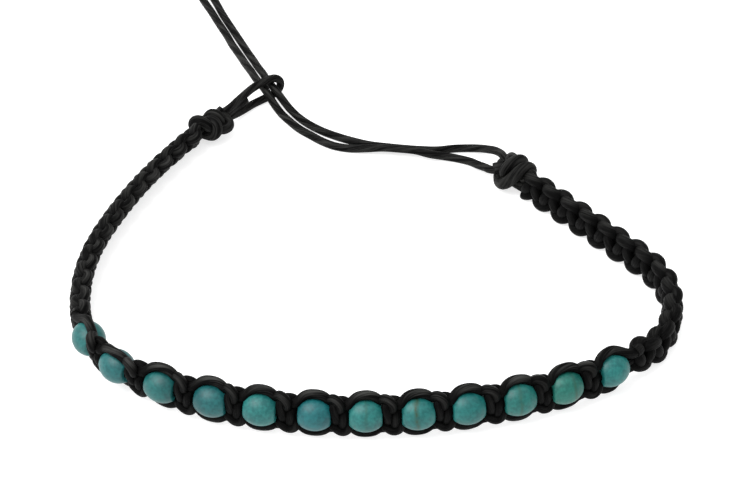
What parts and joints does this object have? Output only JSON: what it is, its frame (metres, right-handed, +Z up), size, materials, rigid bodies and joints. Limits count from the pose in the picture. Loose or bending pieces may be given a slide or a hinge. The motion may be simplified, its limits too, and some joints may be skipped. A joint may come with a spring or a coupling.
{
  "type": "beaded friendship bracelet",
  "caption": "Square-knot friendship bracelet of dark waxed cord with a front row of round turquoise stone beads, a closing loop and two tie cords.",
  "frame": {"origin": "centre of the bracelet's box without the tie cords, on the surface that it stands on", "axes": "+X to the right along the bead row, +Y from the bead row back towards the closing loop and the tie cords, +Z up; it stands on the lower edge of its band"},
  "size_m": [0.0747, 0.1033, 0.0063],
  "materials": {
    "turquoise_stone": "satin, tumbled stone with faint veins",
    "waxed_cord": "near-black waxed cotton cord with a low sheen"
  },
  "bodies": {
    "root": {"bead_01": "turquoise_stone", "bead_02": "turquoise_stone", "bead_03": "turquoise_stone", "bead_04": "turquoise_stone", "bead_05": "turquoise_stone", "bead_06": "turquoise_stone", "bead_07": "turquoise_stone", "bead_08": "turquoise_stone", "bead_09": "turquoise_stone", "bead_10": "turquoise_stone", "bead_11": "turquoise_stone", "bead_12": "turquoise_stone", "spacer_knot_01": "waxed_cord", "spacer_knot_02": "waxed_cord", "spacer_knot_03": "waxed_cord", "spacer_knot_04": "waxed_cord", "spacer_knot_05": "waxed_cord", "spacer_knot_06": "waxed_cord", "spacer_knot_07": "waxed_cord", "spacer_knot_08": "waxed_cord", "spacer_knot_09": "waxed_cord", "spacer_knot_10": "waxed_cord", "spacer_knot_11": "waxed_cord", "bead_thread": "waxed_cord", "side_cord_upper": "waxed_cord", "side_cord_lower": "waxed_cord", "knotted_band_left": "waxed_cord", "knotted_band_right": "waxed_cord", "end_knot_left": "waxed_cord", "end_knot_right": "waxed_cord", "closing_loop": "waxed_cord", "tie_cord_a": "waxed_cord", "tie_cord_b": "waxed_cord"}
  },
  "joints": []
}
